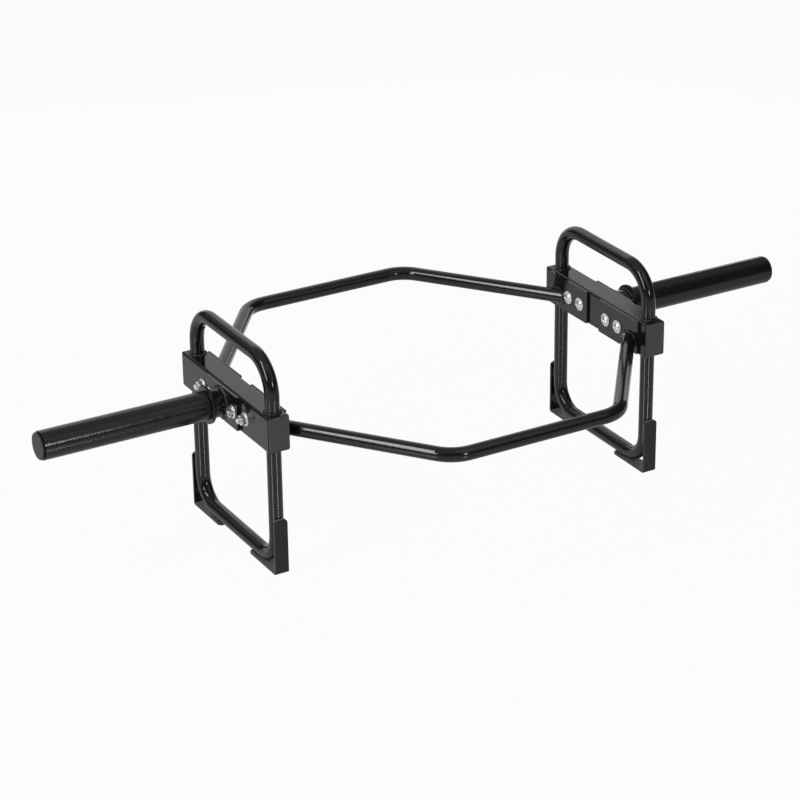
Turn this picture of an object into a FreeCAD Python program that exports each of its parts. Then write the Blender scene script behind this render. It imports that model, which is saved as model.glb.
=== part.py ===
import FreeCAD, Part
import math
import os

# Hex trap bar: a steel ring that a lifter stands in, with raised handles, a stand frame under each side
# and a sleeve for weight plates at each side. Everything is welded or bolted, and nothing moves.
# Frame: the origin is on the floor under the middle of the ring, +X runs along the right sleeve,
# +Y runs to the rear and +Z up. Lengths are millimetres and angles are degrees.

Vector = FreeCAD.Vector
ORIGIN = Vector(0, 0, 0)
ALONG_X = Vector(1, 0, 0)
ALONG_Y = Vector(0, 1, 0)
ALONG_Z = Vector(0, 0, 1)
TOUCHING = 1e-6

# Round tube of the handles, stands and rails
TUBE_OD = 25.0
TUBE_WALL = 2.5

# Cross beams: box tube from front to back, one at each side
BEAM_SPACING = 742.0
BEAM_WIDTH = 40.0
BEAM_HEIGHT = 64.0
BEAM_LENGTH = 318.0
BEAM_WALL = 3.0
BEAM_CORNER_RADIUS = 4.5
CORNER_RADIUS_LEAST = 0.5
BEAM_UNDERSIDE_HEIGHT = 229.0
END_PLATE_THICKNESS = 3.0
END_PLATE_INSET = 1.2
END_PLATE_CHAMFER = 0.5

# Raised handles and stand frames: bent tubes whose legs stand in line, near the beam's ends
LEG_END_MARGIN = 10.5
HANDLE_LEG_STRAIGHT = 25.0
HANDLE_BEND_RADIUS = 60.0
STAND_BEND_RADIUS = 50.0

# Feet: flat bar bent to an L against the stand frame's corners
FOOT_WIDTH = 25.0
FOOT_THICKNESS = 4.0
FOOT_RISE = 102.0
FOOT_RUN = 100.0
FOOT_BEND_INNER_RADIUS = 1.0
FOOT_END_RADIUS = 8.0
FOOT_END_FLAT_LEAST = 1.0

# Sleeves, with their stop collars and plastic end caps
SLEEVE_OD = 50.0
SLEEVE_WALL = 3.0
SLEEVE_LOAD_LENGTH = 298.0
SLEEVE_RISE = 2.0
SLEEVE_PLATE_THICKNESS = 5.0
COLLAR_GAP = 25.0
COLLAR_THICKNESS = 5.0
COLLAR_RIM = 7.5
COLLAR_EDGE_RADIUS = 0.8
COLLAR_SEAT_DEPTH = 0.4
CAP_LIP = 1.0
CAP_STAND_OFF = 2.5
CAP_HEAD_THICKNESS = 2.5
CAP_HEAD_EDGE_RADIUS = 0.8
CAP_PLUG_LENGTH = 20.0
CAP_CORE_WALL = 2.5
CAP_RIB_HEIGHT = 2.0
CAP_RIB_WIDTH = 2.0
CAP_RIB_COUNT = 3

# Rails: bent tubes that close the hexagon, with a plate on each end
RAIL_STRAIGHT_LENGTH = 320.0
RAIL_ANGLE = 53.2
RAIL_BEND_RADIUS = 60.0
RAIL_DROP = 9.0
RAIL_PLATE_THICKNESS = 4.0
RAIL_PLATE_INNER_MARGIN = 22.5
RAIL_PLATE_OUTER_MARGIN = 7.0

# Height and corners of the bolted plates: the rail plates and the sleeve plates
PLATE_HEIGHT = 61.0
PLATE_CORNER_RADIUS = 2.0

# Fasteners: button head bolts, plain washers and hexagon nuts
BOLT_DIAMETER = 10.0
BOLT_HEAD_DIAMETER = 17.5
BOLT_HEAD_HEIGHT = 5.5
BOLT_HEAD_LAND = 0.8
BOLT_SOCKET_ACROSS_FLATS = 6.0
BOLT_SOCKET_DEPTH = 3.6
BOLT_END_CHAMFER = 1.0
BOLT_END_BEYOND_NUT = 1.5
NUT_ACROSS_FLATS = 17.0
NUT_HEIGHT = 8.0
NUT_CHAMFER_ANGLE = 30.0
WASHER_OD = 24.0
WASHER_THICKNESS = 2.0
WASHER_EDGE_CHAMFER = 0.3

# Where the bolts stand, counted outwards from the sleeve
WASHER_TO_SLEEVE = 5.0
SLEEVE_PLATE_END_MARGIN = 15.5
WASHER_TO_SLEEVE_PLATE = 9.5
WASHER_TO_RAIL = 2.0

# Clearances
BOLT_HOLE_CLEARANCE = 0.5
WASHER_BORE_CLEARANCE = 0.3
NUT_BORE_CLEARANCE = 0.1
COLLAR_BORE_CLEARANCE = 0.2
CAP_RIB_CLEARANCE = 0.2
FOOT_WELD_GAP = 0.2

# Places worked out from the dimensions above
TUBE_RADIUS = TUBE_OD / 2
SLEEVE_RADIUS = SLEEVE_OD / 2
SLEEVE_BORE_RADIUS = SLEEVE_RADIUS - SLEEVE_WALL
SLEEVE_ROOT_RADIUS = SLEEVE_RADIUS - COLLAR_SEAT_DEPTH
ARC_BULGE = 1 - math.sqrt(0.5)
WASHER_RADIUS = WASHER_OD / 2

BEAM_X = BEAM_SPACING / 2
BEAM_INNER_X = BEAM_X - BEAM_WIDTH / 2
BEAM_OUTER_X = BEAM_X + BEAM_WIDTH / 2
BEAM_BOTTOM_Z = BEAM_UNDERSIDE_HEIGHT
BEAM_TOP_Z = BEAM_BOTTOM_Z + BEAM_HEIGHT
BEAM_MID_Z = BEAM_BOTTOM_Z + BEAM_HEIGHT / 2
BEAM_END_Y = BEAM_LENGTH / 2 + END_PLATE_THICKNESS
PLATE_BOTTOM_Z = BEAM_MID_Z - PLATE_HEIGHT / 2
PLATE_TOP_Z = BEAM_MID_Z + PLATE_HEIGHT / 2

LEG_Y = BEAM_END_Y - LEG_END_MARGIN - TUBE_RADIUS
HANDLE_TOP_Z = BEAM_TOP_Z + HANDLE_LEG_STRAIGHT + HANDLE_BEND_RADIUS
STAND_BAR_Z = FOOT_THICKNESS + FOOT_WELD_GAP + TUBE_RADIUS
FOOT_OUTER_Y = LEG_Y + TUBE_RADIUS + FOOT_WELD_GAP + FOOT_THICKNESS

SLEEVE_Z = BEAM_MID_Z + SLEEVE_RISE
SLEEVE_PLATE_X = BEAM_OUTER_X + SLEEVE_PLATE_THICKNESS
COLLAR_X = SLEEVE_PLATE_X + COLLAR_GAP
COLLAR_END_X = COLLAR_X + COLLAR_THICKNESS
SLEEVE_END_X = COLLAR_END_X + SLEEVE_LOAD_LENGTH

RAIL_PLATE_X = BEAM_INNER_X - RAIL_PLATE_THICKNESS
RAIL_Z = BEAM_MID_Z - RAIL_DROP
RAIL_CORNER_X = RAIL_STRAIGHT_LENGTH / 2
RAIL_SLOPE = math.tan(math.radians(RAIL_ANGLE))
RAIL_END_HALF_WIDTH = TUBE_RADIUS / math.cos(math.radians(RAIL_ANGLE))

INNER_BOLT_Y = SLEEVE_RADIUS + WASHER_TO_SLEEVE + WASHER_RADIUS
SLEEVE_PLATE_END_Y = INNER_BOLT_Y + SLEEVE_PLATE_END_MARGIN
OUTER_BOLT_Y = SLEEVE_PLATE_END_Y + WASHER_TO_SLEEVE_PLATE + WASHER_RADIUS
RAIL_END_Y = OUTER_BOLT_Y + WASHER_RADIUS + WASHER_TO_RAIL + RAIL_END_HALF_WIDTH
RAIL_CORNER_Y = RAIL_END_Y + (RAIL_PLATE_X - RAIL_CORNER_X) * RAIL_SLOPE
RAIL_PLATE_START_Y = INNER_BOLT_Y - RAIL_PLATE_INNER_MARGIN
RAIL_PLATE_END_Y = RAIL_END_Y + RAIL_END_HALF_WIDTH + RAIL_PLATE_OUTER_MARGIN
BOLT_YS = (-OUTER_BOLT_Y, -INNER_BOLT_Y, INNER_BOLT_Y, OUTER_BOLT_Y)

BOLT_HOLE_RADIUS = BOLT_DIAMETER / 2 + BOLT_HOLE_CLEARANCE
BOLT_SEAT_X = RAIL_PLATE_X - WASHER_THICKNESS
BOLT_END_X = SLEEVE_PLATE_X + WASHER_THICKNESS + NUT_HEIGHT + BOLT_END_BEYOND_NUT

SIDES = (("left", -1), ("right", 1))
ENDS = (("front", -1), ("rear", 1))


def block(low, high):
    """A box between two opposite corners."""
    size = Vector(*high) - Vector(*low)
    return Part.makeBox(size.x, size.y, size.z, Vector(*low))


def edges_along(shape, direction):
    """The straight edges of a shape that run along a direction."""
    return [edge for edge in shape.Edges
            if isinstance(edge.Curve, Part.Line) and edge.Curve.Direction.cross(direction).Length < TOUCHING]


def rounded_block(low, high, direction, radius):
    """A box whose edges along one direction are rounded."""
    box = block(low, high)
    return box.makeFillet(radius, edges_along(box, direction))


def rounded_path(corners, radius):
    """A wire of straight runs through the corners, with a tangent arc of the bend radius at each one."""
    edges = []
    start = corners[0]
    for before, corner, after in zip(corners, corners[1:], corners[2:]):
        back = (before - corner).normalize()
        ahead = (after - corner).normalize()
        half_turn = (math.pi - back.getAngle(ahead)) / 2
        setback = radius * math.tan(half_turn)
        bisector = (back + ahead).normalize()
        middle = corner + bisector * (radius / math.cos(half_turn) - radius)
        arc_start = corner + back * setback
        arc_end = corner + ahead * setback
        edges.append(Part.LineSegment(start, arc_start).toShape())
        edges.append(Part.Arc(arc_start, middle, arc_end).toShape())
        start = arc_end
    edges.append(Part.LineSegment(start, corners[-1]).toShape())
    return Part.Wire(edges)


def bent_tube(corners, bend_radius):
    """A hollow round tube bent along a path, open at both ends."""
    path = rounded_path(corners, bend_radius)
    heading = corners[1] - corners[0]
    walls = []
    for radius in (TUBE_RADIUS, TUBE_RADIUS - TUBE_WALL):
        section = Part.Wire([Part.makeCircle(radius, corners[0], heading)])
        walls.append(path.makePipeShell([section], True, False))
    outer, bore = walls
    return outer.cut(bore)


def turned(profile):
    """A solid of revolution about the X axis from a closed profile of (x, radius) steps.

    A step of two numbers is a straight run to that point, and one of four is an arc through the first
    point to the second.
    """
    edges = []
    start = profile[0]
    for step in profile[1:] + profile[:1]:
        if len(step) == 4:
            edges.append(Part.Arc(Vector(*start, 0), Vector(*step[:2], 0), Vector(*step[2:], 0)).toShape())
        else:
            edges.append(Part.LineSegment(Vector(*start, 0), Vector(*step, 0)).toShape())
        start = step[-2:]
    face = Part.Face(Part.Wire(edges))
    return face.revolve(ORIGIN, ALONG_X, 360)


def hexagon_prism(across_flats, length):
    """A hexagonal prism along +X from the origin, with two corners up and down."""
    corner_radius = across_flats / math.sqrt(3)
    corners = []
    for step in range(7):
        angle = math.radians(60 * step)
        corners.append(Vector(0, corner_radius * math.sin(angle), corner_radius * math.cos(angle)))
    return Part.Face(Part.makePolygon(corners)).extrude(ALONG_X * length)


def bolt_hole(y, low_x, high_x):
    """The cutter for one bolt hole through a wall or plate."""
    return Part.makeCylinder(BOLT_HOLE_RADIUS, high_x - low_x, Vector(low_x, y, BEAM_MID_Z), ALONG_X)


def on_side(shape, side):
    """A piece made for the right side, kept there or mirrored to the left."""
    return shape if side > 0 else shape.mirror(ORIGIN, ALONG_X)


def on_end(shape, end):
    """A piece made for the rear, kept there or mirrored to the front."""
    return shape if end > 0 else shape.mirror(ORIGIN, ALONG_Y)


def cross_beam():
    """Box tube with rounded corners and the bolt holes through both side walls."""
    half = BEAM_LENGTH / 2
    inner_radius = max(BEAM_CORNER_RADIUS - BEAM_WALL, CORNER_RADIUS_LEAST)
    beam = rounded_block((BEAM_INNER_X, -half, BEAM_BOTTOM_Z), (BEAM_OUTER_X, half, BEAM_TOP_Z),
                         ALONG_Y, BEAM_CORNER_RADIUS)
    bore = rounded_block((BEAM_INNER_X + BEAM_WALL, -half, BEAM_BOTTOM_Z + BEAM_WALL),
                         (BEAM_OUTER_X - BEAM_WALL, half, BEAM_TOP_Z - BEAM_WALL), ALONG_Y, inner_radius)
    holes = [bolt_hole(y, BEAM_INNER_X, BEAM_OUTER_X) for y in BOLT_YS]
    return beam.cut([bore] + holes)


def beam_end_plate():
    """Plate that closes the beam's rear end, set in from its sides, with the outer edges chamfered."""
    inset = END_PLATE_INSET
    corner_radius = max(BEAM_CORNER_RADIUS - inset, CORNER_RADIUS_LEAST)
    plate = rounded_block((BEAM_INNER_X + inset, BEAM_LENGTH / 2, BEAM_BOTTOM_Z + inset),
                          (BEAM_OUTER_X - inset, BEAM_END_Y, BEAM_TOP_Z - inset), ALONG_Y, corner_radius)
    outer_face = max(plate.Faces, key=lambda face: face.CenterOfMass.y)
    return plate.makeChamfer(END_PLATE_CHAMFER, outer_face.Edges)


def raised_handle():
    """Bent tube whose two legs stand on the beam's top face."""
    outline = ((-LEG_Y, BEAM_TOP_Z), (-LEG_Y, HANDLE_TOP_Z), (LEG_Y, HANDLE_TOP_Z), (LEG_Y, BEAM_TOP_Z))
    return bent_tube([Vector(BEAM_X, y, z) for y, z in outline], HANDLE_BEND_RADIUS)


def stand_frame():
    """Bent tube whose two legs hang from the beam's underside."""
    outline = ((-LEG_Y, BEAM_BOTTOM_Z), (-LEG_Y, STAND_BAR_Z), (LEG_Y, STAND_BAR_Z), (LEG_Y, BEAM_BOTTOM_Z))
    return bent_tube([Vector(BEAM_X, y, z) for y, z in outline], STAND_BEND_RADIUS)


def foot():
    """Rear foot: a flat bar bent to an L, with the corners of both ends rounded."""
    inner_y = FOOT_OUTER_Y - FOOT_THICKNESS
    toe_y = FOOT_OUTER_Y - FOOT_RUN
    low_x = BEAM_X - FOOT_WIDTH / 2
    high_x = BEAM_X + FOOT_WIDTH / 2
    end_radius = min(FOOT_END_RADIUS, (FOOT_WIDTH - FOOT_END_FLAT_LEAST) / 2)
    outer = block((low_x, toe_y, 0), (high_x, FOOT_OUTER_Y, FOOT_RISE))
    hollow = block((low_x, toe_y, FOOT_THICKNESS), (high_x, inner_y, FOOT_RISE))
    bar = outer.cut(hollow)
    roundings = (
        (ALONG_Z, toe_y, FOOT_THICKNESS / 2, end_radius),
        (ALONG_Y, FOOT_OUTER_Y - FOOT_THICKNESS / 2, FOOT_RISE, end_radius),
        (ALONG_X, FOOT_OUTER_Y, 0, FOOT_BEND_INNER_RADIUS + FOOT_THICKNESS),
        (ALONG_X, inner_y, FOOT_THICKNESS, FOOT_BEND_INNER_RADIUS),
    )
    for direction, y, z, radius in roundings:
        edges = [edge for edge in edges_along(bar, direction)
                 if math.hypot(edge.CenterOfMass.y - y, edge.CenterOfMass.z - z) < TOUCHING]
        bar = bar.makeFillet(radius, edges)
    return bar


def sleeve_plate():
    """Plate on the beam's outer face that carries the sleeve, with its two bolt holes."""
    plate = rounded_block((BEAM_OUTER_X, -SLEEVE_PLATE_END_Y, PLATE_BOTTOM_Z),
                          (SLEEVE_PLATE_X, SLEEVE_PLATE_END_Y, PLATE_TOP_Z), ALONG_X, PLATE_CORNER_RADIUS)
    return plate.cut([bolt_hole(y, BEAM_OUTER_X, SLEEVE_PLATE_X) for y in (-INNER_BOLT_Y, INNER_BOLT_Y)])


def about_sleeve(profile):
    """A solid of revolution about the sleeve's axis."""
    return turned(profile).translate(ALONG_Z * SLEEVE_Z)


def sleeve_tube():
    """Tube that the weight plates slide on, its root turned down to seat the stop collar on a shoulder."""
    return about_sleeve([(SLEEVE_PLATE_X, SLEEVE_BORE_RADIUS), (SLEEVE_END_X, SLEEVE_BORE_RADIUS),
                         (SLEEVE_END_X, SLEEVE_RADIUS), (COLLAR_END_X, SLEEVE_RADIUS),
                         (COLLAR_END_X, SLEEVE_ROOT_RADIUS), (SLEEVE_PLATE_X, SLEEVE_ROOT_RADIUS)])


def stop_collar():
    """Ring on the sleeve's root that the weight plates stop against, its outer edges rounded."""
    bore = SLEEVE_ROOT_RADIUS + COLLAR_BORE_CLEARANCE
    rim = SLEEVE_RADIUS + COLLAR_RIM
    edge = COLLAR_EDGE_RADIUS
    bulge = edge * ARC_BULGE
    return about_sleeve([(COLLAR_X, bore), (COLLAR_END_X, bore), (COLLAR_END_X, rim - edge),
                         (COLLAR_END_X - bulge, rim - bulge, COLLAR_END_X - edge, rim),
                         (COLLAR_X + edge, rim), (COLLAR_X + bulge, rim - bulge, COLLAR_X, rim - edge)])


def sleeve_cap():
    """Plastic plug: a head that stands off the sleeve's end, on a ribbed hollow core inside it."""
    head_radius = SLEEVE_BORE_RADIUS + CAP_LIP
    neck_x = SLEEVE_END_X + CAP_STAND_OFF
    head_x = neck_x + CAP_HEAD_THICKNESS
    tip_x = SLEEVE_END_X - CAP_PLUG_LENGTH
    rib_radius = SLEEVE_BORE_RADIUS - CAP_RIB_CLEARANCE
    core_radius = rib_radius - CAP_RIB_HEIGHT
    edge = CAP_HEAD_EDGE_RADIUS
    bulge = edge * ARC_BULGE
    pitch = CAP_PLUG_LENGTH / (CAP_RIB_COUNT + 1)
    profile = [(head_x, 0), (head_x, head_radius - edge),
               (head_x - bulge, head_radius - bulge, head_x - edge, head_radius),
               (neck_x, head_radius), (neck_x, core_radius)]
    for number in range(1, CAP_RIB_COUNT + 1):
        rib_x = SLEEVE_END_X - number * pitch
        outer_x = rib_x + CAP_RIB_WIDTH / 2
        inner_x = rib_x - CAP_RIB_WIDTH / 2
        profile += [(outer_x, core_radius), (outer_x, rib_radius)]
        profile += [(inner_x, rib_radius), (inner_x, core_radius)]
    profile += [(tip_x, core_radius), (tip_x, core_radius - CAP_CORE_WALL),
                (neck_x, core_radius - CAP_CORE_WALL), (neck_x, 0)]
    return about_sleeve(profile)


def rail():
    """Rear rail: bent tube, its ends cut flat against the rail plates."""
    overrun = TUBE_OD * RAIL_SLOPE
    reach_x = RAIL_PLATE_X + overrun
    reach_y = RAIL_END_Y - overrun * RAIL_SLOPE
    outline = ((-reach_x, reach_y), (-RAIL_CORNER_X, RAIL_CORNER_Y), (RAIL_CORNER_X, RAIL_CORNER_Y),
               (reach_x, reach_y))
    tube = bent_tube([Vector(x, y, RAIL_Z) for x, y in outline], RAIL_BEND_RADIUS)
    between_plates = block((-RAIL_PLATE_X, reach_y - TUBE_OD, RAIL_Z - TUBE_OD),
                           (RAIL_PLATE_X, RAIL_CORNER_Y + TUBE_OD, RAIL_Z + TUBE_OD))
    return tube.common(between_plates)


def rail_plate():
    """Plate on the right end of the rear rail, against the beam's inner face, with its two bolt holes."""
    plate = rounded_block((RAIL_PLATE_X, RAIL_PLATE_START_Y, PLATE_BOTTOM_Z),
                          (BEAM_INNER_X, RAIL_PLATE_END_Y, PLATE_TOP_Z), ALONG_X, PLATE_CORNER_RADIUS)
    return plate.cut([bolt_hole(y, RAIL_PLATE_X, BEAM_INNER_X) for y in (INNER_BOLT_Y, OUTER_BOLT_Y)])


def nut_seat(y):
    """Where the nut's washer sits: on the sleeve plate, or on the bare beam beyond it."""
    return SLEEVE_PLATE_X if abs(y) < SLEEVE_PLATE_END_Y else BEAM_OUTER_X


def four_of(shape, seat_of):
    """One solid at each bolt of a side, seated where the given function says."""
    copies = []
    for y in BOLT_YS:
        copies.append(shape.translated(Vector(seat_of(y), y, BEAM_MID_Z)))
    return Part.makeCompound(copies)


def bolt():
    """Button head bolt with a hexagon socket, its head's seat at the origin and its shank along +X."""
    shank_radius = BOLT_DIAMETER / 2
    head_radius = BOLT_HEAD_DIAMETER / 2
    length = BOLT_END_X - BOLT_SEAT_X
    dome_height = BOLT_HEAD_HEIGHT - BOLT_HEAD_LAND
    dome_radius = (head_radius ** 2 + dome_height ** 2) / (2 * dome_height)
    half_arc = math.atan2(dome_height, head_radius)
    middle_x = dome_radius * (1 - math.cos(half_arc)) - BOLT_HEAD_HEIGHT
    middle_radius = dome_radius * math.sin(half_arc)
    profile = [(-BOLT_HEAD_HEIGHT, 0), (middle_x, middle_radius, -BOLT_HEAD_LAND, head_radius),
               (0, head_radius), (0, shank_radius), (length - BOLT_END_CHAMFER, shank_radius),
               (length, shank_radius - BOLT_END_CHAMFER), (length, 0)]
    socket = hexagon_prism(BOLT_SOCKET_ACROSS_FLATS, BOLT_SOCKET_DEPTH)
    return turned(profile).cut(socket.translated(ALONG_X * -BOLT_HEAD_HEIGHT))


def washer():
    """Plain washer with its seat at the origin, its outer edges broken."""
    bore = BOLT_DIAMETER / 2 + WASHER_BORE_CLEARANCE
    edge = WASHER_EDGE_CHAMFER
    profile = [(0, bore), (WASHER_THICKNESS, bore), (WASHER_THICKNESS, WASHER_RADIUS - edge),
               (WASHER_THICKNESS - edge, WASHER_RADIUS), (edge, WASHER_RADIUS), (0, WASHER_RADIUS - edge)]
    return turned(profile)


def nut():
    """Hexagon nut with its seat at the origin, both faces chamfered to a round."""
    bore = BOLT_DIAMETER / 2 + NUT_BORE_CLEARANCE
    flat_radius = NUT_ACROSS_FLATS / 2
    corner_radius = NUT_ACROSS_FLATS / math.sqrt(3)
    drop = (corner_radius - flat_radius) * math.tan(math.radians(NUT_CHAMFER_ANGLE))
    envelope = turned([(0, bore), (NUT_HEIGHT, bore), (NUT_HEIGHT, flat_radius),
                       (NUT_HEIGHT - drop, corner_radius), (drop, corner_radius), (0, flat_radius)])
    return hexagon_prism(NUT_ACROSS_FLATS, NUT_HEIGHT).common(envelope)


def all_pieces():
    """Every piece of the bar by name."""
    pieces = {}
    for end_name, end in ENDS:
        pieces[f"{end_name}_rail"] = on_end(rail(), end)
    for side_name, side in SIDES:
        side_pieces = {
            "cross_beam": cross_beam(),
            "raised_handle": raised_handle(),
            "stand_frame": stand_frame(),
            "sleeve_plate": sleeve_plate(),
            "sleeve_tube": sleeve_tube(),
            "stop_collar": stop_collar(),
            "sleeve_cap": sleeve_cap(),
            "bolts": four_of(bolt(), lambda y: BOLT_SEAT_X),
            "head_washers": four_of(washer(), lambda y: BOLT_SEAT_X),
            "nut_washers": four_of(washer(), nut_seat),
            "nuts": four_of(nut(), lambda y: nut_seat(y) + WASHER_THICKNESS),
        }
        for end_name, end in ENDS:
            side_pieces[f"{end_name}_end_plate"] = on_end(beam_end_plate(), end)
            side_pieces[f"{end_name}_foot"] = on_end(foot(), end)
            side_pieces[f"{end_name}_rail_plate"] = on_end(rail_plate(), end)
        for name, shape in side_pieces.items():
            pieces[f"{side_name}_{name}"] = on_side(shape, side)
    return pieces


os.makedirs("parts", exist_ok=True)
for node, shape in all_pieces().items():
    shape.exportStep(f"parts/{node}.step")
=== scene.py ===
"""Looks of a hex trap bar: its finishes, weld beads and threaded bolts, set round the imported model.

Lengths are metres in the model's own frame: +X runs along the right sleeve, +Y to the rear and +Z up
from the floor.
"""

import logging
import math
from dataclasses import dataclass
from enum import Enum

import bmesh
import bpy
import numpy as np
from mathutils import Matrix, Quaternion, Vector
from numpy.typing import NDArray


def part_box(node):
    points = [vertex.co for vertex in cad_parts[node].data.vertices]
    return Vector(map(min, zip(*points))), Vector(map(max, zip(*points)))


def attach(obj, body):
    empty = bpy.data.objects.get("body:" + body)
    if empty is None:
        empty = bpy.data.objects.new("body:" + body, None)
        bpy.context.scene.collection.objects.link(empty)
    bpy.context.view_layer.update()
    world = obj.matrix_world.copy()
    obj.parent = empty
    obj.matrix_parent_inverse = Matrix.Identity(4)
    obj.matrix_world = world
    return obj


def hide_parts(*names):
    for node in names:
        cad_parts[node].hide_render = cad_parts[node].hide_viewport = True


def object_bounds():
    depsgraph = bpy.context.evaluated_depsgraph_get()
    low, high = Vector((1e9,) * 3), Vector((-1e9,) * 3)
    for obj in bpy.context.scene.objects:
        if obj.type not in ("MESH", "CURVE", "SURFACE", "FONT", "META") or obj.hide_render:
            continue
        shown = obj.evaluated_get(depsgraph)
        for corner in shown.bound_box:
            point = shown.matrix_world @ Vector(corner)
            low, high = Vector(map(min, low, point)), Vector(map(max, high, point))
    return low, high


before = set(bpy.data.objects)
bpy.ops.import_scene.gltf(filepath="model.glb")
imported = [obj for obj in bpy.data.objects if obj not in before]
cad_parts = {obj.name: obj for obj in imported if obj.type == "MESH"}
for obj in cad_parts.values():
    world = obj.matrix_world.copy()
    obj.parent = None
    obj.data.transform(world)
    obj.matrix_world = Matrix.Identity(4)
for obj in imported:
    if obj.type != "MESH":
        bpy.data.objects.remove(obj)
CAD_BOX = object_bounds()

LOG = logging.getLogger("hex_trap_bar")
BODY = "root"
MM = 0.001
FULL_TURN = 2 * math.pi
# Points this near to each other are one, and points this near to a face lie on it
SEAM = 1e-7
ON_FACE = 0.01 * MM
# Angles in degrees past which an edge is sharp
WELD_CREASE = 50.0
BOLT_CREASE = 35.0
FLOOR_CREASE = 30.0
# Range that the values of a noise texture seldom leave
NOISE_LOW = 0.35
NOISE_HIGH = 0.65

Points = NDArray[np.float64]
UP = np.array([0.0, 0.0, 1.0])


class Place(Enum):
    """A place on the bar, with its sign on an axis."""

    @property
    def word(self) -> str:
        """Its name, as the names of the pieces have it."""
        return self.name.lower()


class Side(Place):
    """The bar's two mirrored sides, each with the sign of its X."""

    LEFT = -1
    RIGHT = 1


class End(Place):
    """The two ends of a side, each with the sign of its Y."""

    FRONT = -1
    REAR = 1


def linear(colour: str) -> tuple[float, float, float, float]:
    """Turn an sRGB hex colour into a linear one.

    Args:
        colour: Six hex digits after a number sign.
    Returns:
        Linear red, green and blue, and an alpha of one.
    """
    shares = np.array([int(colour[place:place + 2], 16) for place in (1, 3, 5)]) / 255
    # The sRGB curve is a straight line in the darks and a power above them
    line = shares / 12.92
    power = ((shares + 0.055) / 1.055) ** 2.4
    red, green, blue = np.where(shares <= 0.04045, line, power)
    return float(red), float(green), float(blue), 1.0


def add_node(tree: bpy.types.NodeTree, kind: str, inputs: dict | None = None,
             **settings: object) -> bpy.types.Node:
    """Add a node with its settings, values and links.

    Args:
        tree: Node tree that takes the node.
        kind: Class of the node.
        inputs: For each input, by name or number, a value or the output that is linked to it.
        **settings: Properties of the node itself.
    Returns:
        The new node.
    """
    node = tree.nodes.new(kind)
    for name, value in settings.items():
        setattr(node, name, value)
    for name, value in (inputs or {}).items():
        if isinstance(value, bpy.types.NodeSocket):
            tree.links.new(value, node.inputs[name])
        else:
            node.inputs[name].default_value = value
    return node


def empty_material(name: str) -> bpy.types.Material:
    """Make a material whose node tree is still bare.

    Args:
        name: Name of the material.
    Returns:
        The material.
    """
    material = bpy.data.materials.new(name)
    material.use_nodes = True
    material.node_tree.nodes.clear()
    return material


@dataclass(frozen=True)
class Finish:
    """A finish: the material's name, its slot in the record and what sets its gloss.

    Attributes:
        name: Common name of the material.
        slot: Slot of the record that pieces of this finish take; not used.
        colour: Colour of the surface, as sRGB hex.
        roughness: Roughness of the shiniest spots.
        dull: How much rougher the dullest spots are.
        grain: Width of the surface's bumps, in millimetres.
        height: Height of these bumps, in millimetres.
        mottle: Width of the patches of changing gloss, in millimetres.
    """

    name: str
    slot: str
    colour: str
    roughness: float
    dull: float
    grain: float
    height: float
    mottle: float

    def optics(self) -> dict[str, float]:
        """Inputs of the shader that are the same all over the surface."""
        raise NotImplementedError

    def surface(self, tree: bpy.types.NodeTree, place: bpy.types.NodeSocket) -> dict[str, object]:
        """Colour and gloss over the surface: one colour, with roughness that changes in patches.

        Args:
            tree: Node tree of the material.
            place: Output with the place on the piece.
        Returns:
            Values and outputs for the shader's inputs.
        """
        patches = add_node(tree, "ShaderNodeTexNoise", {
            "Vector": place, "Scale": 1 / (self.mottle * MM), "Detail": 3.0})
        gloss = add_node(tree, "ShaderNodeMapRange", {
            "Value": patches.outputs["Fac"], "From Min": NOISE_LOW, "From Max": NOISE_HIGH,
            "To Min": self.roughness, "To Max": self.roughness + self.dull})
        return {"Base Color": linear(self.colour), "Roughness": gloss.outputs["Result"]}

    def material(self) -> bpy.types.Material:
        """The finish as a material: its colour and gloss, with noise bumps of the grain's width.

        Returns:
            The material, made once and shared by every piece of this finish.
        """
        made = bpy.data.materials.get(self.name)
        if made:
            return made
        material = empty_material(self.name)
        tree = material.node_tree
        place = add_node(tree, "ShaderNodeTexCoord").outputs["Object"]
        bumps = add_node(tree, "ShaderNodeTexNoise", {
            "Vector": place, "Scale": 1 / (self.grain * MM), "Detail": 1.0})
        relief = add_node(tree, "ShaderNodeBump", {
            "Height": bumps.outputs["Fac"], "Distance": self.height * MM})
        shader = add_node(tree, "ShaderNodeBsdfPrincipled", {
            **self.surface(tree, place), **self.optics(), "Normal": relief.outputs["Normal"]})
        add_node(tree, "ShaderNodeOutputMaterial", {"Surface": shader.outputs["BSDF"]})
        return material


class PowderCoat(Finish):
    """Polyester powder coat, sprayed on dry and baked until it flows.

    It gives the eye a deep black with crisp reflections, which the orange peel left by the flow breaks up
    into specks. The peel is drawn a little coarser than it is, so that it shows.
    """

    def optics(self) -> dict[str, float]:
        """Cured polyester: no metal, and the index of a clear resin."""
        return {"IOR": 1.5}


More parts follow.
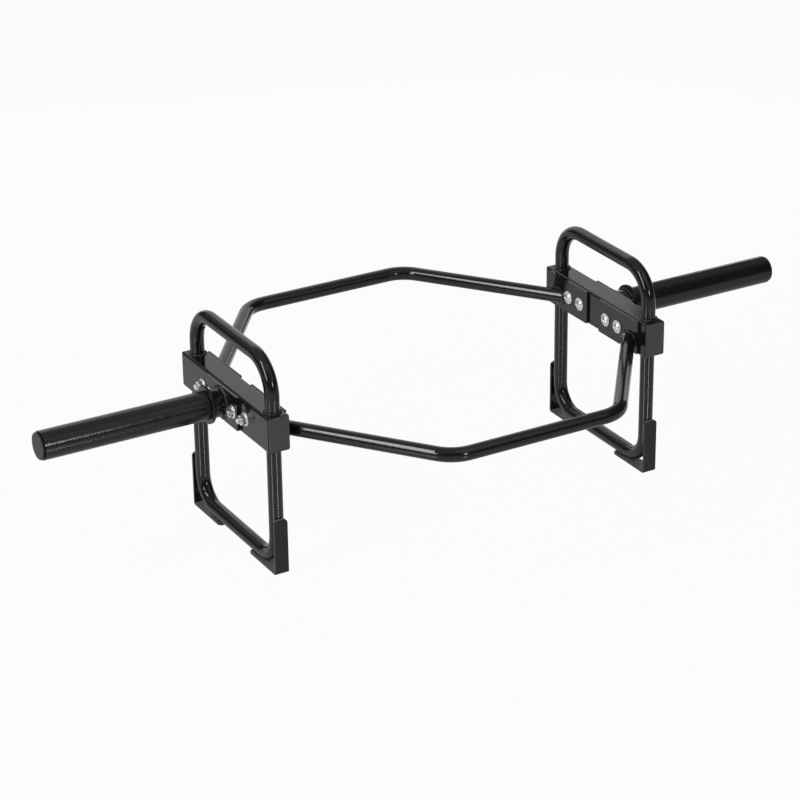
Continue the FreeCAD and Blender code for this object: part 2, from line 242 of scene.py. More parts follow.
@dataclass(frozen=True)
class PaintedTopLightCoat(PowderCoat):
    """Powder coat on a bent foot, with painted light on the faces that look up.

    It gives the eye the same black outside. On the faces that look up, a pale grey is painted in for the
    light that falls on them, and the gloss there is rougher.

    Attributes:
        painted_light_colour: Pale grey painted on the faces that look up for the light on them, as sRGB hex.
        upward_roughness: Roughness of the faces that look up.
        level: How far up a face looks before it takes the painted light and the roughness in full, where one
            is straight up.
    """

    # Painted light: this pale grey stands in for the light that falls on the faces that look up
    painted_light_colour: str = "#787878"
    upward_roughness: float = 0.5
    level: float = 0.9

    def surface(self, tree: bpy.types.NodeTree, place: bpy.types.NodeSocket) -> dict[str, object]:
        """Colour and gloss over the surface, with painted light and a rougher gloss where it looks up.

        Args:
            tree: Node tree of the material.
            place: Output with the place on the piece.
        Returns:
            Values and outputs for the shader's inputs.
        """
        plain_coat = super().surface(tree, place)
        facing = add_node(tree, "ShaderNodeTexCoord").outputs["Normal"]
        upward = add_node(tree, "ShaderNodeSeparateXYZ", {"Vector": facing}).outputs["Z"]
        # Share of painted light and of added roughness, which rises as a face turns up
        painted_light_share = add_node(tree, "ShaderNodeMapRange", {
            "Value": upward, "From Min": self.level / 2, "From Max": self.level}).outputs["Result"]
        colour = add_node(tree, "ShaderNodeMixRGB", {
            "Fac": painted_light_share, "Color1": plain_coat["Base Color"], "Color2": linear(self.painted_light_colour)}).outputs["Color"]
        roughness = add_node(tree, "ShaderNodeMix", {
            "Factor": painted_light_share, "A": plain_coat["Roughness"], "B": self.upward_roughness}).outputs["Result"]
        return {"Base Color": colour, "Roughness": roughness}


class ZincPlate(Finish):
    """Bright zinc, plated on the steel fasteners.

    It gives the eye a pale cool silver, blurred a little by the fine crystals of the plating, which are
    drawn coarser than they are, so that they show.
    """

    def optics(self) -> dict[str, float]:
        """A bare metal."""
        return {"Metallic": 1.0}


class MouldedPlastic(Finish):
    """Polyethylene, moulded in a tool with a fine spark texture.

    It gives the eye a soft dark grey with a wide, dim shine.
    """

    def optics(self) -> dict[str, float]:
        """Polyethylene: no metal, and its own index."""
        return {"IOR": 1.51}


POWDER_COAT = PowderCoat("polyester_powder_coat_black", "black_powder_coat", "#191919",
                         roughness=0.09, dull=0.05, grain=2.2, height=0.02, mottle=9.0)
SLEEVE_COAT = PowderCoat("polyester_powder_coat_black_heavy_peel", "black_powder_coat", "#191919",
                         roughness=0.14, dull=0.08, grain=2.4, height=0.085, mottle=9.0)
# Its pale grey on the faces that look up is painted light
FOOT_COAT = PaintedTopLightCoat("polyester_powder_coat_black_thin", "black_powder_coat", "#191919",
                    roughness=0.12, dull=0.06, grain=2.2, height=0.02, mottle=9.0)
# The end plates' coat is the same black paint, a little rougher, painted a lighter grey as the light on
# their front faces
LIT_END_COAT = PowderCoat("polyester_powder_coat_black_dull", "black_powder_coat", "#4a4a4a",
                      roughness=0.24, dull=0.08, grain=2.2, height=0.03, mottle=9.0)
ZINC = ZincPlate("bright_zinc_plate", "zinc_plate", "#f4f4f3",
                 roughness=0.3, dull=0.08, grain=0.9, height=0.02, mottle=2.0)
WASHER_ZINC = ZincPlate("bright_zinc_plate_satin", "zinc_plate", "#f4f4f3",
                        roughness=0.45, dull=0.1, grain=0.9, height=0.02, mottle=2.0)
PLASTIC = MouldedPlastic("moulded_polyethylene_black", "black_plastic", "#2e2e2f",
                         roughness=0.42, dull=0.1, grain=0.8, height=0.03, mottle=6.0)


def dress(node: str, finish: Finish) -> None:
    """Give a CAD node its finish.

    Args:
        node: Name of the node.
        finish: Finish that all of its faces take.
    """
    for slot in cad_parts[node].material_slots:
        slot.material = finish.material()
    LOG.info("dressed %s with %s", node, finish.name)


def surface_mesh(name: str, grids: list[Points], crease: float) -> bpy.types.Mesh:
    """Join grids of points into one mesh of quads.

    Neighbouring points of a grid's rows and columns span the quads. Points that meet along a seam or at a
    pole are merged, so that each grid whose edges meet is a closed skin with its faces outwards.

    Args:
        name: Name of the mesh.
        grids: Arrays of rows by columns of points.
        crease: Angle in degrees past which an edge between two faces is sharp.
    Returns:
        The mesh, smooth apart from its sharp edges.
    """
    quads = []
    start = 0
    for grid in grids:
        rows, columns = grid.shape[:2]
        number = start + np.arange(rows * columns).reshape(rows, columns)
        corners = (number[:-1, :-1], number[1:, :-1], number[1:, 1:], number[:-1, 1:])
        quads.append(np.stack(corners, axis=-1).reshape(-1, 4))
        start += rows * columns
    points = np.concatenate([grid.reshape(-1, 3) for grid in grids])
    mesh = bpy.data.meshes.new(name)
    mesh.from_pydata(points, [], np.concatenate(quads))
    skin = bmesh.new()
    skin.from_mesh(mesh)
    bmesh.ops.remove_doubles(skin, verts=skin.verts, dist=SEAM)
    bmesh.ops.dissolve_degenerate(skin, edges=skin.edges, dist=SEAM)
    bmesh.ops.recalc_face_normals(skin, faces=skin.faces)
    skin.to_mesh(mesh)
    skin.free()
    mesh.shade_smooth()
    mesh.set_sharp_from_angle(angle=math.radians(crease))
    return mesh


def add_piece(mesh: bpy.types.Mesh, finish: Finish) -> bpy.types.Object:
    """Put a mesh into the scene as a piece of the bar.

    Args:
        mesh: Mesh with the piece's place in it.
        finish: Finish of the piece.
    Returns:
        The piece, named as its mesh is.
    """
    piece = bpy.data.objects.new(mesh.name, mesh)
    bpy.context.scene.collection.objects.link(piece)
    mesh.materials.append(finish.material())
    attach(piece, BODY)
    LOG.info("built %s with %d faces", piece.name, len(mesh.polygons))
    return piece


def unit(vectors: Points) -> Points:
    """The vectors with a length of one."""
    return vectors / np.linalg.norm(vectors, axis=-1, keepdims=True)


def square_pair(axis: Points) -> tuple[Points, Points]:
    """Two directions square to an axis and to each other, which turn right-handed about it.

    Args:
        axis: Direction of length one.
    Returns:
        The first and second direction, each of length one.
    """
    # Rolled and raised, an axis along X, Y or Z is no longer parallel to itself
    first = unit(np.cross(axis, np.roll(np.abs(axis), 1) + UP / 2))
    return first, np.cross(axis, first)


@dataclass(frozen=True)
class WeldBead:
    """A fillet weld bead, with the ripples that the arc leaves as it steps along.

    Attributes:
        leg: Length of each leg of the fillet.
        crown: How far the face bows out between its two toes.
        ripple: Height of a ripple.
        pitch: Distance from one ripple to the next.
        lead: How far a ripple runs ahead in the middle of the face, in pitches.
        wander: Share by which the bead swells and thins along its run.
        swells: Waves along the run, and phase, of each sine that it swells by.
        blunt: Power in the curve that rounds off the ends of an open bead.
        sink: Depth of the toes under the surfaces that they lie on.
        steps: Rows of points to a ripple.
        across: Faces from toe to toe.
    """

    leg: float = 3.5 * MM
    crown: float = 0.7 * MM
    ripple: float = 0.7 * MM
    pitch: float = 3.4 * MM
    lead: float = 0.7
    wander: float = 0.08
    swells: tuple[tuple[int, int], ...] = ((3, 1), (7, 2))
    blunt: int = 8
    sink: float = 0.05 * MM
    steps: int = 7
    across: int = 8

    def rows(self, length: float) -> int:
        """Rows of points along a bead of a length."""
        return self.steps * round(length / self.pitch) + 1

    def skin(self, corner: Points, plate: Points, wall: Points, ends: Points) -> Points:
        """The bead's closed skin.

        The section is a straight face from the toe on the plate to the toe on the wall, bowed out by a
        parabola, and closed through the corner. Ripples are half waves of a sine along the run that lean
        ahead by the same parabola, and the legs swell with two slow sines.

        Args:
            corner: Points along the run, in the corner between plate and wall.
            plate: At each point, from the corner to the toe on the plate.
            wall: At each point, from the corner to the toe on the wall.
            ends: At each point the bead's size, which is nothing at the ends of an open bead.
        Returns:
            Grid of points, with a row for each point of the run.
        """
        run = np.concatenate(([0.0], np.cumsum(np.linalg.norm(np.diff(corner, axis=0), axis=1))))
        share = (run / run[-1])[:, None]
        across = np.linspace(0, 1, self.across + 1)[None, :]
        bow = 4 * across * (1 - across)
        ripples = np.abs(np.sin(math.pi * (round(run[-1] / self.pitch) * share - self.lead * bow)))
        swell = sum(np.sin(waves * FULL_TURN * share + phase) for waves, phase in self.swells)
        size = ends[:, None] * (1 + self.wander * swell)
        rise = size * bow * (self.crown + self.ripple * ripples) - self.sink
        outward = unit(plate + wall)[:, None, :]
        legs = (1 - across)[..., None] * plate[:, None, :] + across[..., None] * wall[:, None, :]
        face = corner[:, None, :] + size[..., None] * legs + rise[..., None] * outward
        root = corner[:, None, :] - (self.sink * (1 + ends))[:, None, None] * outward
        return np.concatenate((root, face, root), axis=1)

    def ring(self, centre: Points, axis: Points, normal: Points, radius: float) -> Points:
        """A bead round the end of a round tube on a flat plate.

        Each line of the tube's wall is followed down to the plate, so that a tube that meets the plate
        at a slant gets an oval bead.

        Args:
            centre: Where the tube's middle line meets the plate.
            axis: Direction of the tube, away from the plate.
            normal: Direction of the plate's face.
            radius: Outer radius of the tube.
        Returns:
            Grid of points.
        """
        axis, normal = unit(axis), unit(normal)
        first, second = square_pair(axis)
        angle = np.linspace(0, FULL_TURN, self.rows(FULL_TURN * radius))[:, None]
        spoke = np.cos(angle) * first + np.sin(angle) * second
        slide = radius * (spoke @ normal)[:, None] / (axis @ normal)
        corner = centre + radius * spoke - slide * axis
        plate = unit(spoke - (spoke @ normal)[:, None] * normal)
        wall = np.broadcast_to(axis, corner.shape)
        return self.skin(corner, self.leg * plate, self.leg * wall, np.ones(len(corner)))

    def seam(self, start: Points, stop: Points, plate: Points, wall: Points) -> Points:
        """A straight bead whose ends round off to nothing.

        Args:
            start: First point of the corner that the bead fills.
            stop: Last point of it.
            plate: From the corner to the toe on the plate.
            wall: From the corner to the toe on the wall.
        Returns:
            Grid of points.
        """
        share = np.linspace(0, 1, self.rows(float(np.linalg.norm(stop - start))))[:, None]
        corner = start + share * (stop - start)
        ends = np.sqrt(np.clip(1 - (2 * share[:, 0] - 1) ** self.blunt, 0, None))
        toes = [np.broadcast_to(toe, corner.shape) for toe in (plate, wall)]
        return self.skin(corner, *toes, ends)


def corners_of(node: str) -> tuple[Points, Points]:
    """Lowest and highest corner of a CAD node, as arrays."""
    low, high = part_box(node)
    return np.array(low), np.array(high)


def mid(node: str) -> Points:
    """Middle of a CAD node's box."""
    return np.mean(corners_of(node), axis=0)


def points_of(node: str) -> Points:
    """All the points of a CAD node's mesh.

    Args:
        node: Name of the node.
    Returns:
        Array with a row for each point.
    """
    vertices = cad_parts[node].data.vertices
    points = np.empty(len(vertices) * 3)
    vertices.foreach_get("co", points)
    return points.reshape(-1, 3)


def rim_of(node: str, x: float) -> Points:
    """Points of a CAD node's mesh that lie at an X.

    Args:
        node: Name of the node.
        x: Where its flat end lies.
    Returns:
        Array with a row for each point.
    """
    points = points_of(node)
    return points[np.abs(points[:, 0] - x) < ON_FACE]


@dataclass
class SidePart:
    """A sub-assembly of one side.

    Attributes:
        side: Which side of the bar it is on.
    """

    side: Side

    def node(self, name: str) -> str:
        """Name of this side's node of a piece."""
        return f"{self.side.word}_{name}"


@dataclass
class SideFrame(SidePart):
    """One side's welded frame: the cross beam with its end plates, handle, stand frame and feet.

    Attributes:
        bead: Weld round the legs of the handle and the stand.
        flare: Weld in the groove between a foot and the round tube on it.
        flare_corner: How far the groove's weld starts from the line where tube and foot touch.
        flare_angle: Angle up the tube's round that this weld reaches, in degrees.
        flare_margin: Bare length of the groove before the weld.
        flare_length: Length of this weld.
    """

    bead: WeldBead = WeldBead()
    flare: WeldBead = WeldBead(leg=4.0 * MM)
    flare_corner: float = 5.0 * MM
    flare_angle: float = 50.0
    flare_margin: float = 5.0 * MM
    flare_length: float = 27.0 * MM

    def tube_radius(self) -> float:
        """Outer radius of the bent tubes, which is half of the handle's width."""
        low, high = corners_of(self.node("raised_handle"))
        return float(high[0] - low[0]) / 2

    def leg_y(self) -> float:
        """Distance of the legs' middle lines from the bar's middle."""
        return float(corners_of(self.node("raised_handle"))[1][1]) - self.tube_radius()

    def leg_welds(self) -> None:
        """Build the rings of weld round the legs, over and under the beam."""
        low, high = corners_of(self.node("cross_beam"))
        for name, z, axis in (("handle_welds", high[2], UP), ("stand_welds", low[2], -UP)):
            rings = []
            for end in End:
                centre = np.array([mid(self.node("cross_beam"))[0], end.value * self.leg_y(), z])
                rings.append(self.bead.ring(centre, axis, axis, self.tube_radius()))
            add_piece(surface_mesh(self.node(name), rings, WELD_CREASE), POWDER_COAT)

    def foot_welds(self) -> None:
        """Build the seams between the stand frame's tube and both legs of each foot."""
        radius = self.tube_radius()
        turn = math.radians(self.flare_angle)
        reach = radius * math.sin(turn) - self.flare_corner
        climb = radius * (1 - math.cos(turn))
        bar_bottom = corners_of(self.node("stand_frame"))[0][2]
        seams = []
        for end in End:
            low, high = corners_of(self.node(f"{end.word}_foot"))
            inward = np.array([0.0, -end.value, 0.0])
            toe_y = low[1] if end is End.REAR else high[1]
            toe = np.array([mid(self.node("stand_frame"))[0], toe_y, bar_bottom])
            top = np.array([toe[0], end.value * (self.leg_y() + radius), high[2]])
            for sign in (-1.0, 1.0):
                across = np.array([sign, 0.0, 0.0])
                for tip, along, away in ((toe, -inward, UP), (top, -UP, inward)):
                    start = tip + self.flare_corner * across + self.flare_margin * along
                    seams.append(self.flare.seam(
                        start, start + self.flare_length * along,
                        self.flare.leg * across, reach * across + climb * away))
        add_piece(surface_mesh(self.node("foot_welds"), seams, WELD_CREASE), POWDER_COAT)

    def build(self) -> None:
        """Dress the side's CAD nodes and build its welds."""
        for name in ("cross_beam", "raised_handle", "stand_frame"):
            dress(self.node(name), POWDER_COAT)
        for end in End:
            # End plates take the lighter grey coat, which is painted light
            dress(self.node(f"{end.word}_end_plate"), LIT_END_COAT)
            dress(self.node(f"{end.word}_foot"), FOOT_COAT)
        self.leg_welds()
        self.foot_welds()


@dataclass
class Sleeve(SidePart):
    """One side's sleeve with its plate, stop collar and end cap.

    Attributes:
        root_bead: Weld round the sleeve on its plate.
        collar_bead: Weld round the sleeve behind the collar.
    """

    root_bead: WeldBead = WeldBead(leg=4.5 * MM, crown=0.9 * MM, ripple=1.0 * MM, pitch=4.2 * MM)
    collar_bead: WeldBead = WeldBead(leg=3.0 * MM)

    def welds(self) -> None:
        """Build the rings of weld at the sleeve's root and behind the collar."""
        plate = corners_of(self.node("sleeve_plate"))
        collar = corners_of(self.node("stop_collar"))
        outward = np.array([float(self.side.value), 0.0, 0.0])
        middle = mid(self.node("sleeve_tube"))
        near, far = (1, 0) if self.side is Side.RIGHT else (0, 1)
        rim = rim_of(self.node("sleeve_tube"), plate[near][0])
        radius = float(rim[:, 2].max() - rim[:, 2].min()) / 2
        root = np.array([plate[near][0], middle[1], middle[2]])
        seat = np.array([collar[far][0], middle[1], middle[2]])
        rings = [self.root_bead.ring(root, outward, outward, radius),
                 self.collar_bead.ring(seat, -outward, -outward, radius)]
        add_piece(surface_mesh(self.node("sleeve_welds"), rings, WELD_CREASE), POWDER_COAT)

    def build(self) -> None:
        """Dress the sleeve's CAD nodes and build its welds."""
        for name in ("sleeve_plate", "stop_collar"):
            dress(self.node(name), POWDER_COAT)
        dress(self.node("sleeve_tube"), SLEEVE_COAT)
        dress(self.node("sleeve_cap"), PLASTIC)
        self.welds()


@dataclass
class Rail:
    """A bent rail with the plate on each of its ends.

    Attributes:
        end: Whether it is the front or the rear rail.
        bead: Weld round the rail's ends on its plates.
    """

    end: End
    bead: WeldBead = WeldBead(leg=4.0 * MM, pitch=3.2 * MM)

    def welds(self) -> None:
        """Build the oval ring of weld at each end."""
        name = f"{self.end.word}_rail"
        low, high = corners_of(name)
        radius = float(high[2] - low[2]) / 2
        rings = []
        for side in Side:
            rim = rim_of(name, high[0] if side is Side.RIGHT else low[0])
            centre = (rim.min(axis=0) + rim.max(axis=0)) / 2
            half_width = (rim[:, 1].max() - rim[:, 1].min()) / 2
            slant = math.acos(radius / half_width)
            axis = np.array([-side.value * math.cos(slant), self.end.value * math.sin(slant), 0.0])
            rings.append(self.bead.ring(centre, axis, np.array([-float(side.value), 0.0, 0.0]), radius))
        add_piece(surface_mesh(f"{name}_welds", rings, WELD_CREASE), POWDER_COAT)

    def build(self) -> None:
        """Dress the rail and its plates and build its welds."""
        dress(f"{self.end.word}_rail", POWDER_COAT)
        for side in Side:
            dress(f"{side.word}_{self.end.word}_rail_plate", POWDER_COAT)
        self.welds()


@dataclass
class Fasteners(SidePart):
    """One side's bolts, washers and nuts.

    Attributes:
        pitch: Pitch of the bolts' thread.
        thread_length: Length of the thread.
        thread_depth: Depth of the thread, in pitches.
        crest: Share of a half pitch that half of the flat crest takes.
        flank: Share of a half pitch that the slope takes.
        shank_radius: Outer radius of the thread and of the plain shank.
        socket: Width of the head's hexagon socket across its flats.
        socket_depth: Depth of the socket's walls.
        socket_edge: Width of the bevel round the socket's mouth.
        land: Height of the straight rim under the head's dome.
        tip_bevel: Bevel at the thread's end.
        columns: Faces round a bolt.
        dome_rows: Rows of points on the head's dome.
        rows_to_pitch: Rows of points to a turn of the thread.
    """

    pitch: float = 1.5 * MM
    thread_length: float = 26.0 * MM
    thread_depth: float = 0.61
    crest: float = 0.125
    flank: float = 0.625
    shank_radius: float = 5.0 * MM
    socket: float = 6.0 * MM
    socket_depth: float = 3.6 * MM
    socket_edge: float = 0.4 * MM
    land: float = 0.8 * MM
    tip_bevel: float = 1.0 * MM
    columns: int = 72
    dome_rows: int = 13
    rows_to_pitch: int = 8

    def bolt_ys(self) -> Points:
        """Find the bolts from the clear gaps between the washers' points along Y.

        Returns:
            Y of each bolt.
        """
        along = np.sort(points_of(self.node("head_washers"))[:, 1])
        groups = np.split(along, np.flatnonzero(np.diff(along) > self.shank_radius) + 1)
        return np.array([(group[0] + group[-1]) / 2 for group in groups])

    def profile(self, head_radius: float, head_height: float, length: float) -> tuple[Points, Points]:
        """A bolt's skin as distances along its axis from the head's seat, and radii, round its axis.

        The head is a spherical cap on a low straight rim. Its socket's mouth is the hexagon whose radius
        is half its width over the cosine of the angle from the nearest flat's middle, and its floor is a
        cone a quarter as deep as it is wide. The thread is a wave along the axis that a turn of the angle
        shifts by one pitch, cut flat at crest and root.

        Args:
            head_radius: Radius of the head's rim.
            head_height: Height of the head.
            length: Length from the seat to the tip.
        Returns:
            Arrays of distances and of radii, rows by columns.
        """
        angle = np.linspace(0, FULL_TURN, self.columns + 1)
        flat = FULL_TURN / 6
        mouth = self.socket / 2 / np.cos((angle + flat / 2) % flat - flat / 2)
        dome_height = head_height - self.land
        dome_radius = (head_radius ** 2 + dome_height ** 2) / (2 * dome_height)
        share = np.linspace(0, 1, self.dome_rows)[:, None]
        lip = mouth + self.socket_edge
        dome_r = lip + share * (head_radius - lip)
        dome_x = dome_radius - head_height - np.sqrt(dome_radius ** 2 - dome_r ** 2)
        floor_x = self.socket_depth - head_height
        shank_end = length - self.thread_length
        turns = round(self.thread_length / self.pitch)
        thread_x = np.linspace(shank_end, length, turns * self.rows_to_pitch + 1)[:, None]
        wave = 2 * np.abs((thread_x / self.pitch - angle / FULL_TURN) % 1 - 0.5)
        groove = self.thread_depth * self.pitch * np.clip((wave - self.crest) / self.flank, 0, 1)
        start = np.clip((thread_x - shank_end) / self.pitch, 0, 1)
        bevelled = self.shank_radius - self.tip_bevel + (length - thread_x)
        thread_r = np.minimum(self.shank_radius - groove * start, bevelled)
        still = np.ones((1, self.columns + 1))
        rows = [
            (still * (floor_x + self.socket / 4), still * 0),
            (still * floor_x, still * mouth),
            (dome_x[:1] + self.socket_edge, still * mouth),
            (dome_x, dome_r),
            (still * -self.land, still * head_radius),
            (still * 0, still * head_radius),
            (still * 0, still * self.shank_radius),
            (still * thread_x, thread_r),
            (still * length, still * 0),
        ]
        return np.concatenate([x for x, _ in rows]), np.concatenate([r for _, r in rows])

    def bolts(self) -> None:
        """Build the side's four bolts, which replace the plain ones."""
        low, high = corners_of(self.node("bolts"))
        washers = corners_of(self.node("head_washers"))
        head_x, seat_x, tip_x = ((low[0], washers[0][0], high[0]) if self.side is Side.RIGHT
                                 else (high[0], washers[1][0], low[0]))
        head_radius = float(high[2] - low[2]) / 2
        along, radius = self.profile(head_radius, abs(seat_x - head_x), abs(tip_x - seat_x))
        angle = np.linspace(0, FULL_TURN, self.columns + 1)
        axis = np.array([float(self.side.value), 0.0, 0.0])
        spoke = np.cos(angle)[:, None] * UP + np.sin(angle)[:, None] * np.cross(axis, UP)
        bolt = along[..., None] * axis + radius[..., None] * spoke
        seats = [np.array([seat_x, y, (low[2] + high[2]) / 2]) for y in self.bolt_ys()]
        mesh = surface_mesh(self.node("threaded_bolts"), [bolt + seat for seat in seats], BOLT_CREASE)
        piece = add_piece(mesh, ZINC)
        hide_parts(self.node("bolts"))

    def build(self) -> None:
        """Dress the washers and nuts and build the bolts."""
        for name in ("head_washers", "nut_washers"):
            dress(self.node(name), WASHER_ZINC)
        dress(self.node("nuts"), ZINC)
        self.bolts()


def from_bar(azimuth: float, elevation: float) -> Vector:
    """Direction from the bar to what stands round to the left of its front and above it.

    Args:
        azimuth: Angle round from the front, in degrees.
        elevation: Angle above the floor, in degrees.
    Returns:
        A direction of length one.
    """
    turn, rise = math.radians(azimuth), math.radians(elevation)
    return Vector((-math.sin(turn) * math.cos(rise), -math.cos(turn) * math.cos(rise), math.sin(rise)))


@dataclass(frozen=True)
class Softbox:
    """A lamp behind a white cloth.

    Attributes:
        name: Name of the lamp.
        azimuth: How far it stands round to the left of the front, in degrees.
        elevation: How far it stands above the bar's middle, in degrees.
        distance: From the bar's middle.
        width: Width of the cloth.
        height: Height of the cloth.
        brightness: Brightness of the cloth, where paper white is one.
        lean: How far its top leans on round to the left, in degrees.
    """

    name: str
    azimuth: float
    elevation: float
    distance: float
    width: float
    height: float
    brightness: float
    lean: float = 0.0

    def hang(self, middle: Vector) -> None:
        """Hang the lamp, turned to the bar, where no view shows it.

        Args:
            middle: The point that it faces.
        """
        data = bpy.data.lights.new(self.name, "AREA")
        data.shape = "RECTANGLE"
        data.size = self.width
        data.size_y = self.height
        data.energy = self.brightness * math.pi * self.width * self.height
        lamp = bpy.data.objects.new(self.name, data)
        outward = from_bar(self.azimuth, self.elevation)
        lean = Quaternion((0, 0, 1), math.radians(self.lean))
        lamp.rotation_euler = (outward.to_track_quat("Z", "Y") @ lean).to_euler()
        lamp.location = middle + self.distance * outward
        lamp.visible_camera = False
        bpy.context.scene.collection.objects.link(lamp)


@dataclass
class Studio:
    """The pale floor, the softboxes, the room and the camera.

    Attributes:
        azimuth: How far the camera stands round to the left of the front, in degrees.
        elevation: How far it looks down, in degrees.
        roll: How far the picture is turned, in degrees.
        distance: From the camera to the point that it looks at.
        target: The point in the picture's middle.
        focal: Focal length in widths of the picture.
        floor_radius: Radius of the floor.
        floor_sides: Faces round the floor.
        floor_colour: Colour of the floor's sheet, as sRGB hex.
        floor_index: Index of refraction of the sheet, that of acrylic.
        floor_roughness: Roughness of its gloss.
        lamps: The softboxes.
        ceiling: Brightness of the ceiling, where paper white is one.
        ceiling_way: Direction of the ceiling's middle.
        ceiling_rim: Shares along that direction from which the ceiling shows, and shows in full.
        walls: Brightness of the dark walls.
        lift: Share of white that the background is lifted by for the camera.
        floor_mirrored: Share of white that the floor is lifted by in reflections.
        room_mirrored: The same for the room.
        gloss: Strength of the floor's own reflections at a low angle.
        gloss_rise: Fresnel shares between which this gloss rises from nothing.
    """

    azimuth: float = 29.544
    elevation: float = 24.801
    roll: float = -0.776
    distance: float = 4831.2 * MM
    target: tuple[float, float, float] = (-52.5 * MM, 0.0, 183.0 * MM)
    focal: float = 3.46927
    floor_radius: float = 30.0
    floor_sides: int = 96
    floor_colour: str = "#b4b4b4"
    floor_index: float = 1.49
    floor_roughness: float = 0.12
    lamps: tuple[Softbox, ...] = (
        Softbox("front_softbox", azimuth=-4.0, elevation=20.0, distance=3.3, width=0.35, height=0.55,
                brightness=20.0),
        Softbox("left_softbox", azimuth=75.5, elevation=35.5, distance=4.0, width=0.7, height=3.0,
                brightness=9.6, lean=28.0),
        Softbox("rear_softbox", azimuth=199.0, elevation=24.0, distance=2.05, width=1.8, height=1.9,
                brightness=0.8),
        Softbox("right_softbox", azimuth=238.5, elevation=11.0, distance=2.3, width=1.1, height=0.8,
                brightness=1.0),
        Softbox("upper_softbox", azimuth=-22.0, elevation=48.0, distance=2.2, width=1.4, height=1.7,
                brightness=0.45),
    )
    ceiling: float = 0.36
    ceiling_way: tuple[float, float, float] = (-0.24, 0.2, 0.95)
    ceiling_rim: tuple[float, float] = (0.45, 0.8)
    walls: float = 0.032
    lift: float = 0.96
    floor_mirrored: float = 0.34
    room_mirrored: float = 0.032
    gloss: float = 0.45
    gloss_rise: tuple[float, float] = (0.04, 0.12)

    def add_camera(self) -> None:
        """Stand the camera where the picture was taken from."""
        back = from_bar(self.azimuth, self.elevation)
        roll = math.radians(self.roll)
        level = Vector((0, 0, 1)).cross(back).normalized()
        right = math.cos(roll) * level + math.sin(roll) * back.cross(level)
        data = bpy.data.cameras.new("camera")
        data.lens = self.focal * data.sensor_width
        camera = bpy.data.objects.new("camera", data)
        axes = Matrix((right, back.cross(right), back)).transposed().to_4x4()
        camera.matrix_world = Matrix.Translation(Vector(self.target) + self.distance * back) @ axes
        bpy.context.scene.collection.objects.link(camera)
        bpy.context.scene.camera = camera

    def background_lift(self, tree: bpy.types.NodeTree, share: float) -> bpy.types.NodeSocket:
        """How far the background goes towards white, for the camera and in reflections.

        Args:
            tree: Node tree of the floor or of the room.
            share: Share of white in reflections.
        Returns:
            Output with the share of white.
        """
        path = add_node(tree, "ShaderNodeLightPath").outputs
        mirrored = add_node(tree, "ShaderNodeMath", {
            0: path["Is Glossy Ray"], 1: path["Is Transmission Ray"]}, operation="MAXIMUM").outputs["Value"]
        in_mirror = add_node(tree, "ShaderNodeMath", {
            0: mirrored, 1: share}, operation="MULTIPLY").outputs["Value"]
        in_view = add_node(tree, "ShaderNodeMath", {
            0: path["Is Camera Ray"], 1: self.lift}, operation="MULTIPLY").outputs["Value"]
        return add_node(tree, "ShaderNodeMath", {
            0: in_mirror, 1: in_view}, operation="MAXIMUM").outputs["Value"]

    def add_room(self) -> None:
        """Light the room: dark walls, a dim ceiling over them and white behind what the camera sees."""
        world = bpy.data.worlds.new("studio_room")
        world.use_nodes = True
        bpy.context.scene.world = world
        tree = world.node_tree
        tree.nodes.clear()
        way = add_node(tree, "ShaderNodeTexCoord").outputs["Generated"]
        height = add_node(tree, "ShaderNodeVectorMath", {
            0: way, 1: self.ceiling_way}, operation="DOT_PRODUCT").outputs["Value"]
        room = add_node(tree, "ShaderNodeMapRange", {
            "Value": height, "From Min": self.ceiling_rim[0], "From Max": self.ceiling_rim[1],
            "To Min": self.walls, "To Max": self.ceiling},
            interpolation_type="SMOOTHSTEP").outputs["Result"]
        light = add_node(tree, "ShaderNodeMix", {
            "Factor": self.background_lift(tree, self.room_mirrored), "A": room, "B": 1.0}).outputs["Result"]
        background = add_node(tree, "ShaderNodeBackground", {"Color": linear("#ffffff"), "Strength": light})
        add_node(tree, "ShaderNodeOutputWorld", {"Surface": background.outputs["Background"]})

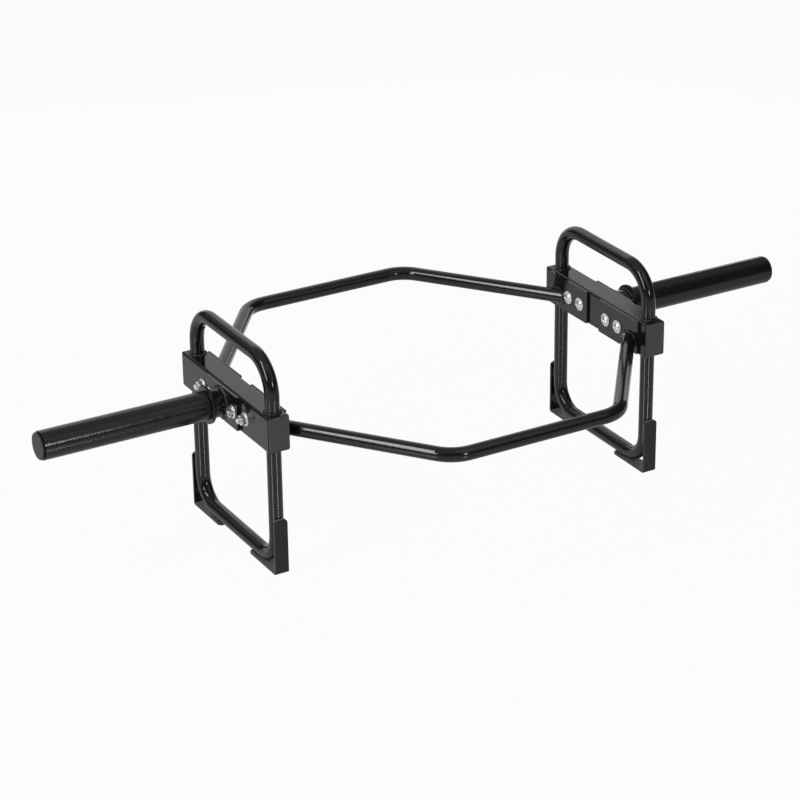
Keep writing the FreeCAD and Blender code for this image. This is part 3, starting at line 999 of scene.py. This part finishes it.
    def floor_material(self) -> bpy.types.Material:
        """White acrylic sheet, which takes the bar's shadow.

        It gives the eye an even white. Its gloss, which rises at a low angle, shows only in what the bar
        itself mirrors.

        Returns:
            The material.
        """
        material = empty_material("acrylic_sheet_white")
        tree = material.node_tree
        plain = add_node(tree, "ShaderNodeBsdfDiffuse", {"Color": linear(self.floor_colour)})
        white = add_node(tree, "ShaderNodeEmission", {"Strength": 1.0})
        sheet = add_node(tree, "ShaderNodeMixShader", {
            0: self.background_lift(tree, self.floor_mirrored),
            1: plain.outputs["BSDF"], 2: white.outputs["Emission"]})
        path = add_node(tree, "ShaderNodeLightPath").outputs
        fresnel = add_node(tree, "ShaderNodeFresnel", {"IOR": self.floor_index}).outputs["Fac"]
        sheen = add_node(tree, "ShaderNodeMapRange", {
            "Value": fresnel, "From Min": self.gloss_rise[0], "From Max": self.gloss_rise[1],
            "To Max": self.gloss}, interpolation_type="SMOOTHSTEP").outputs["Result"]
        unseen = add_node(tree, "ShaderNodeMath", {
            0: 1.0, 1: path["Is Camera Ray"]}, operation="SUBTRACT").outputs["Value"]
        mirrored = add_node(tree, "ShaderNodeMath", {
            0: sheen, 1: unseen}, operation="MULTIPLY").outputs["Value"]
        gloss = add_node(tree, "ShaderNodeBsdfGlossy", {
            "Roughness": self.floor_roughness, "Color": mirrored})
        both = add_node(tree, "ShaderNodeAddShader", {
            0: sheet.outputs["Shader"], 1: gloss.outputs["BSDF"]})
        add_node(tree, "ShaderNodeOutputMaterial", {"Surface": both.outputs["Shader"]})
        return material

    def add_floor(self) -> None:
        """Lay a round floor under the feet: spokes from the middle to a circle, with its face up."""
        angle = np.linspace(0, FULL_TURN, self.floor_sides + 1)
        rim = np.stack((np.cos(angle), np.sin(angle), 0 * angle), axis=-1)
        spokes = np.linspace(0, self.floor_radius, 2)[:, None, None] * rim
        spokes[..., 2] = CAD_BOX[0][2]
        mesh = surface_mesh("floor", [spokes], FLOOR_CREASE)
        if mesh.polygons[0].normal.z < 0:
            mesh.flip_normals()
        mesh.materials.append(self.floor_material())
        floor = bpy.data.objects.new("floor", mesh)
        bpy.context.scene.collection.objects.link(floor)

    def build(self) -> None:
        """Set up the whole studio."""
        bpy.context.scene.view_settings.view_transform = "Standard"
        self.add_camera()
        for lamp in self.lamps:
            lamp.hang(Vector((0, 0, self.target[2])))
        self.add_room()
        self.add_floor()


def main() -> None:
    """Build the bar's looks, sub-assembly by sub-assembly, and then the studio."""
    logging.basicConfig(level=logging.INFO, format="%(message)s")
    for end in End:
        Rail(end).build()
    for side in Side:
        SideFrame(side).build()
        Sleeve(side).build()
        Fasteners(side).build()
    Studio().build()


if __name__ == "__main__":
    main()
